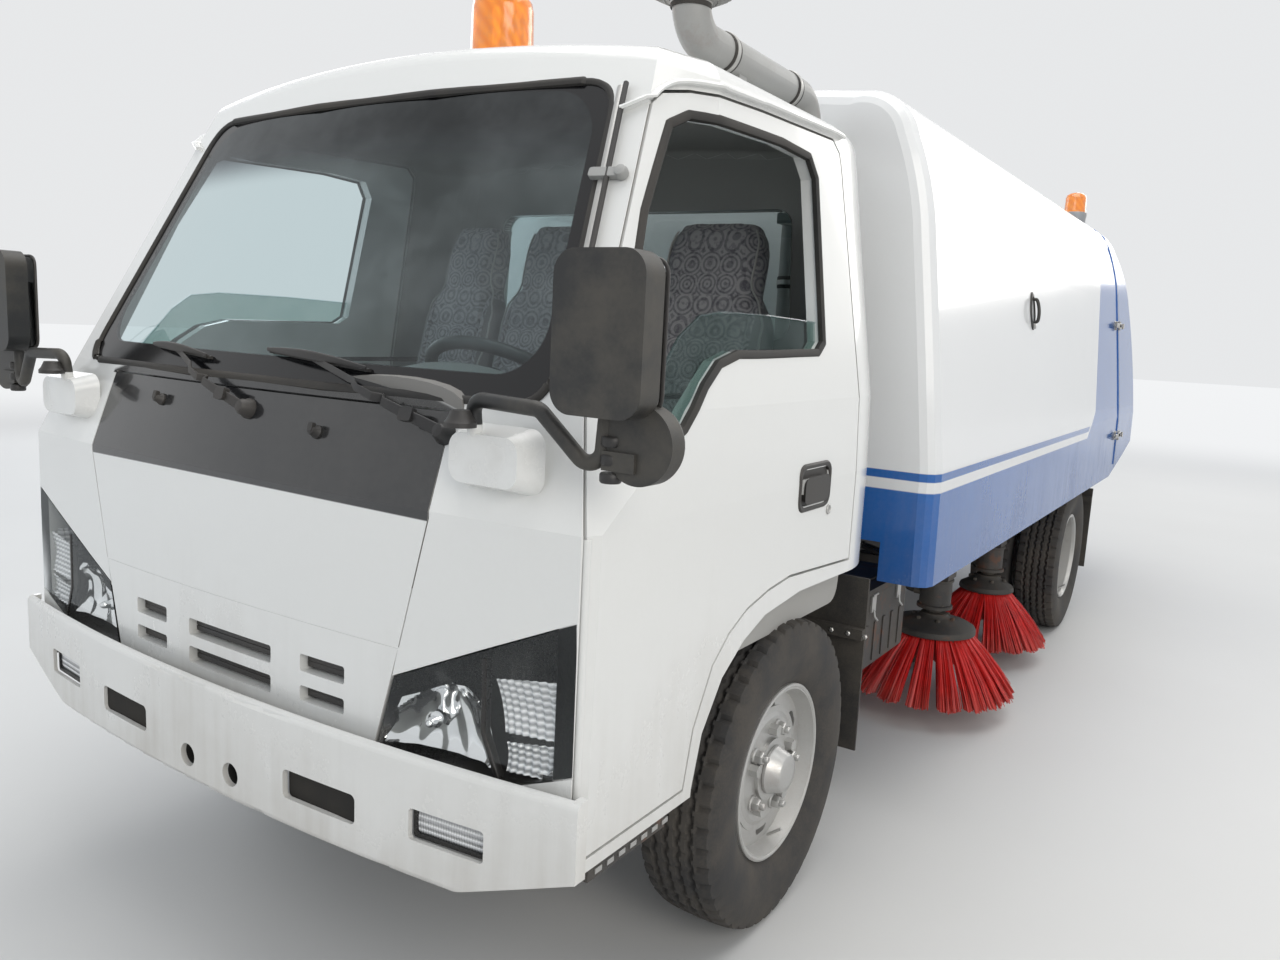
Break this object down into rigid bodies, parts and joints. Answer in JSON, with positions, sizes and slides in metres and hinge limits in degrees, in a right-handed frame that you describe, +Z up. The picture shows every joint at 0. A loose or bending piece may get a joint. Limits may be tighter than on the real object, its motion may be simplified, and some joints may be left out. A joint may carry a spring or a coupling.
{
  "type": "street sweeper truck",
  "caption": "Light cab-over truck with a tipping street sweeper body, spinning side brushes, a suction nozzle and a rear discharge door.",
  "frame": {"origin": "on the ground under the centre of the bounding box", "axes": "+Z up, -Y towards the front bumper, +X towards the truck's left side"},
  "size_m": [2.074, 5.99, 2.3781],
  "materials": {
    "frame_paint": "satin black",
    "cab_paint": "gloss white",
    "body_paint": "gloss white with blue lower band",
    "band_black": "gloss white with a dark band",
    "lamp": "clear lens in a black housing",
    "glass": "tinted",
    "tyre": "dull",
    "rim": "silver paint",
    "steel": "oily dark",
    "mirror_black": "grained",
    "trim_black": "matt",
    "dash": "grained grey",
    "seat_fabric": "woven grey",
    "beacon_amber": "clear amber",
    "pipe_grey": "satin grey",
    "rubber": "matt",
    "bristle": "red bristle",
    "ram_steel": "satin",
    "tail_red": "red lens"
  },
  "bodies": {
    "chassis": {"frame_rails": "frame_paint", "engine_block": "steel", "drive_shaft": "steel", "fuel_tank": "frame_paint", "battery_box": "frame_paint", "leaf_springs": "steel", "front_axle_beam": "steel", "rear_axle": "steel", "rear_bar": "frame_paint", "tail_lamps": "tail_red", "mud_flaps": "rubber", "bumper": "cab_paint", "fog_lamps": "lamp", "brush_carriers": "steel", "suction_nozzle": "frame_paint"},
    "cab": {"cab_shell": "cab_paint", "front_panel": "band_black", "grille_panel": "cab_paint", "headlamp_left": "lamp", "headlamp_right": "lamp", "windscreen": "glass", "rear_window": "glass", "dashboard": "dash", "seat_left": "seat_fabric", "seat_right": "seat_fabric", "mirror_left": "mirror_black", "mirror_right": "mirror_black", "wipers": "trim_black", "roof_beacon": "beacon_amber", "intake_pipe": "pipe_grey", "steps": "trim_black"},
    "steering": {"steering_wheel": "trim_black"},
    "door_l": {"door_left": "cab_paint", "door_glass_left": "glass"},
    "door_r": {"door_right": "cab_paint", "door_glass_right": "glass"},
    "steer_l": {"knuckle_left": "steel"},
    "steer_r": {"knuckle_right": "steel"},
    "wheel_fl": {"front_rim_left": "rim", "front_tyre_left": "tyre"},
    "wheel_fr": {"front_rim_right": "rim", "front_tyre_right": "tyre"},
    "wheel_rl": {"rear_rims_left": "rim", "rear_tyres_left": "tyre"},
    "wheel_rr": {"rear_rims_right": "rim", "rear_tyres_right": "tyre"},
    "body": {"body_housing": "body_paint", "body_subframe": "frame_paint", "body_beacon": "beacon_amber"},
    "discharge_door": {"rear_door": "body_paint"},
    "ram_tube": {"ram_barrel": "frame_paint"},
    "ram_piston": {"ram_rod": "ram_steel"},
    "brush_fl": {"brush_front_left": "bristle"},
    "brush_fr": {"brush_front_right": "bristle"},
    "brush_rl": {"brush_rear_left": "bristle"},
    "brush_rr": {"brush_rear_right": "bristle"}
  },
  "joints": [
    {"name": "cab_tilt", "type": "hinge", "parent": "chassis", "child": "cab", "pos_m": [0, -2.865, 0.69], "axis": [1, 0, 0], "range_deg": [0, 40]},
    {"name": "door_left_open", "type": "hinge", "parent": "cab", "child": "door_l", "pos_m": [0.865, -2.882, 1], "axis": [0, 0, -1], "range_deg": [0, 50]},
    {"name": "door_right_open", "type": "hinge", "parent": "cab", "child": "door_r", "pos_m": [-0.865, -2.882, 1], "axis": [0, 0, 1], "range_deg": [0, 50]},
    {"name": "steer_left", "type": "hinge", "parent": "chassis", "child": "steer_l", "pos_m": [0.65, -1.98, 0.3875], "axis": [0, 0, 1], "range_deg": [-32, 32]},
    {"name": "steer_right", "type": "hinge", "parent": "chassis", "child": "steer_r", "pos_m": [-0.65, -1.98, 0.3875], "axis": [0, 0, 1], "range_deg": [-32, 32]},
    {"name": "steering_turn", "type": "hinge", "parent": "cab", "child": "steering", "pos_m": [0.39, -2.5, 1.3], "axis": [0, 0.5736, 0.8192], "range_deg": [-545, 545]},
    {"name": "wheel_spin_fl", "type": "hinge", "parent": "steer_l", "child": "wheel_fl", "pos_m": [0.752, -1.98, 0.3875], "axis": [1, 0, 0], "continuous": true},
    {"name": "wheel_spin_fr", "type": "hinge", "parent": "steer_r", "child": "wheel_fr", "pos_m": [-0.752, -1.98, 0.3875], "axis": [1, 0, 0], "continuous": true},
    {"name": "wheel_spin_rl", "type": "hinge", "parent": "chassis", "child": "wheel_rl", "pos_m": [0.712, 1.38, 0.3875], "axis": [1, 0, 0], "continuous": true},
    {"name": "wheel_spin_rr", "type": "hinge", "parent": "chassis", "child": "wheel_rr", "pos_m": [-0.712, 1.38, 0.3875], "axis": [1, 0, 0], "continuous": true},
    {"name": "body_tip", "type": "hinge", "parent": "chassis", "child": "body", "pos_m": [0, 2.22, 0.73], "axis": [-1, 0, 0], "range_deg": [0, 45]},
    {"name": "discharge_door_open", "type": "hinge", "parent": "body", "child": "discharge_door", "pos_m": [0, 2.353, 2.246], "axis": [1, 0, 0], "range_deg": [0, 80]},
    {"name": "ram_swing", "type": "hinge", "parent": "chassis", "child": "ram_tube", "pos_m": [0, 0.76, 0.66], "axis": [1, 0, 0], "range_deg": [0, 14.87]},
    {"name": "ram_stroke", "type": "slide", "parent": "ram_tube", "child": "ram_piston", "axis": [0, 0.991, 0.1342], "range_m": [0, 0.281]},
    {"name": "brush_spin_fl", "type": "hinge", "parent": "chassis", "child": "brush_fl", "pos_m": [0.69, -0.237, 0.345], "axis": [0, 0, 1], "continuous": true},
    {"name": "brush_spin_fr", "type": "hinge", "parent": "chassis", "child": "brush_fr", "pos_m": [-0.69, -0.237, 0.345], "axis": [0, 0, 1], "continuous": true},
    {"name": "brush_spin_rl", "type": "hinge", "parent": "chassis", "child": "brush_rl", "pos_m": [0.69, 0.61, 0.345], "axis": [0, 0, 1], "continuous": true},
    {"name": "brush_spin_rr", "type": "hinge", "parent": "chassis", "child": "brush_rr", "pos_m": [-0.69, 0.61, 0.345], "axis": [0, 0, 1], "continuous": true}
  ],
  "couplings": [
    {"joint": "steer_right", "follows": "steer_left", "ratio": 1},
    {"joint": "steering_turn", "follows": "steer_left", "ratio": 17},
    {"joint": "ram_swing", "follows": "body_tip", "ratio": 0.31923},
    {"joint": "ram_stroke", "follows": "body_tip", "m_per_rad": 0.34507}
  ]
}
